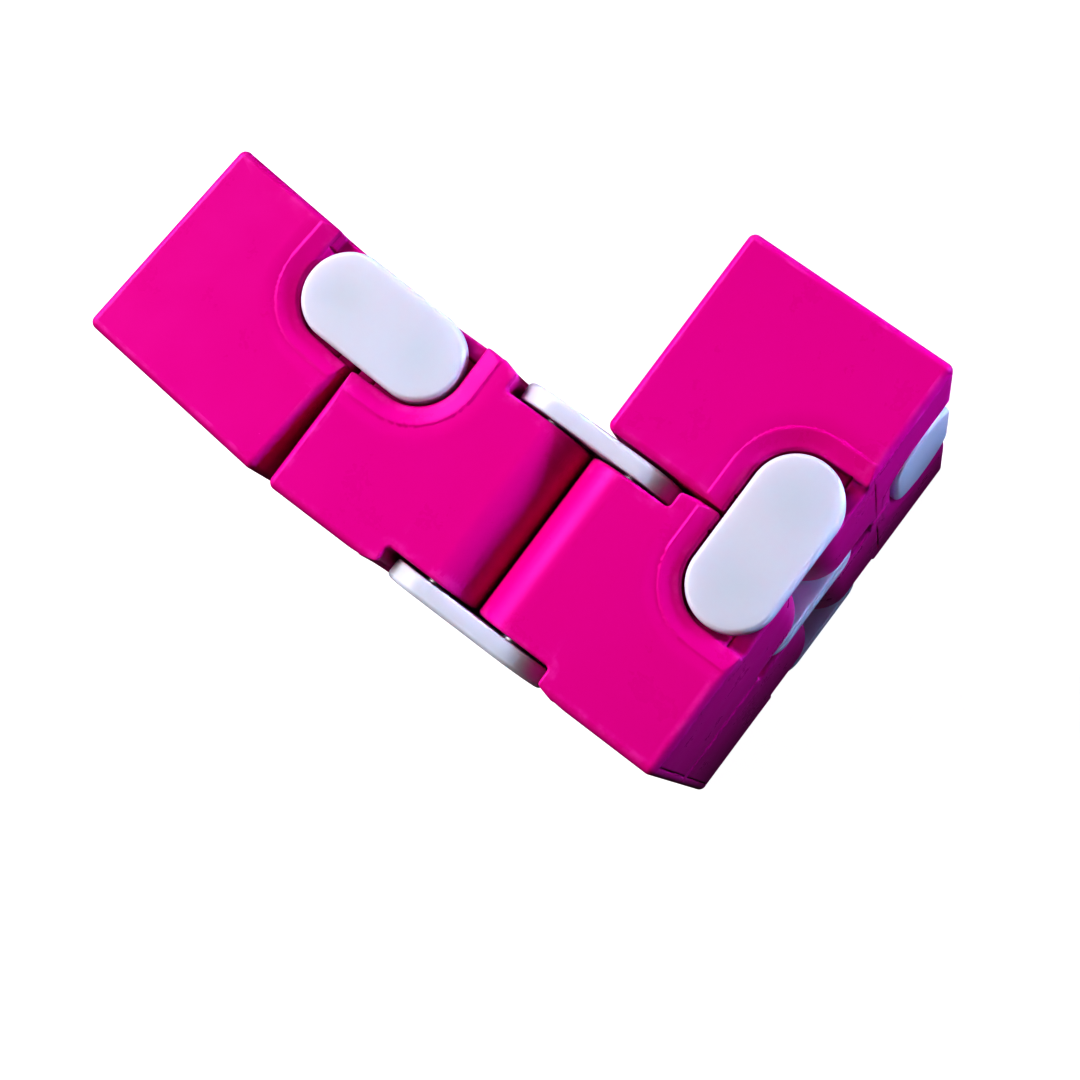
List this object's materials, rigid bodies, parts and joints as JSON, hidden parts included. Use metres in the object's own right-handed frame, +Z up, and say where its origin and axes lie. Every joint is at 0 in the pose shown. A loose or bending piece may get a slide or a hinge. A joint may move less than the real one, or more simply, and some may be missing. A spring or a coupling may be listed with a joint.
{
  "type": "folding cube toy",
  "caption": "Small hollow cubes in a closed loop, joined by white double-pivot link hinges, that fold over and over in the hand as a desk toy.",
  "frame": {"origin": "middle of the toy's plan, on the surface it stands on, at the rest pose", "axes": "+X along the row of three cube columns, from the part-opened left column to the right; +Y towards the side that the right column is folded to; +Z up"},
  "size_m": [0.061, 0.0398, 0.0398],
  "materials": {
    "cube_shell": "glossy moulded magenta plastic with fine handling scratches",
    "cube_cover": "glossy moulded magenta plastic, the same as the shell",
    "link_plate": "glossy cool white plastic",
    "hinge_pin": "drawn bright steel"
  },
  "bodies": {
    "middle_block": {"cube_2_shell": "cube_shell", "cube_2_cover": "cube_cover", "cube_3_shell": "cube_shell", "cube_3_cover": "cube_cover", "cube_6_shell": "cube_shell", "cube_6_cover": "cube_cover", "cube_7_shell": "cube_shell", "cube_7_cover": "cube_cover", "link_plate_2_3_near": "link_plate", "link_plate_2_3_far": "link_plate", "hinge_pin_2_3_a": "hinge_pin", "hinge_pin_2_3_b": "hinge_pin", "link_plate_6_7_near": "link_plate", "link_plate_6_7_far": "link_plate", "hinge_pin_6_7_a": "hinge_pin", "hinge_pin_6_7_b": "hinge_pin"},
    "left_link": {"link_plate_1_2_near": "link_plate", "link_plate_1_2_far": "link_plate", "hinge_pin_1_2_a": "hinge_pin", "hinge_pin_1_2_b": "hinge_pin", "link_plate_7_8_near": "link_plate", "link_plate_7_8_far": "link_plate", "hinge_pin_7_8_a": "hinge_pin", "hinge_pin_7_8_b": "hinge_pin"},
    "left_column": {"cube_1_shell": "cube_shell", "cube_1_cover": "cube_cover", "cube_8_shell": "cube_shell", "cube_8_cover": "cube_cover", "link_plate_8_1_near": "link_plate", "link_plate_8_1_far": "link_plate", "hinge_pin_8_1_a": "hinge_pin", "hinge_pin_8_1_b": "hinge_pin"},
    "right_link": {"link_plate_3_4_near": "link_plate", "link_plate_3_4_far": "link_plate", "hinge_pin_3_4_a": "hinge_pin", "hinge_pin_3_4_b": "hinge_pin", "link_plate_5_6_near": "link_plate", "link_plate_5_6_far": "link_plate", "hinge_pin_5_6_a": "hinge_pin", "hinge_pin_5_6_b": "hinge_pin"},
    "right_column": {"cube_4_shell": "cube_shell", "cube_4_cover": "cube_cover", "cube_5_shell": "cube_shell", "cube_5_cover": "cube_cover", "link_plate_4_5_near": "link_plate", "link_plate_4_5_far": "link_plate", "hinge_pin_4_5_a": "hinge_pin", "hinge_pin_4_5_b": "hinge_pin"}
  },
  "joints": [
    {"name": "left_link_turn", "type": "hinge", "parent": "middle_block", "child": "left_link", "pos_m": [-0.00538, -0.004, 0.01985], "axis": [0, 0, -1], "range_deg": [-2.4, 87.6]},
    {"name": "left_column_turn", "type": "hinge", "parent": "left_link", "child": "left_column", "pos_m": [-0.01338, -0.00366, 0.01985], "axis": [0, 0, -1], "range_deg": [-2.4, 87.6]},
    {"name": "right_link_turn", "type": "hinge", "parent": "middle_block", "child": "right_link", "pos_m": [0.02662, -0.004, 0.01985], "axis": [0, 0, -1], "range_deg": [0, 90]},
    {"name": "right_column_turn", "type": "hinge", "parent": "right_link", "child": "right_column", "pos_m": [0.02662, 0.004, 0.01985], "axis": [0, 0, -1], "range_deg": [0, 90]}
  ],
  "couplings": [
    {"joint": "left_link_turn", "follows": "left_column_turn", "ratio": 1},
    {"joint": "right_link_turn", "follows": "right_column_turn", "ratio": 1}
  ]
}
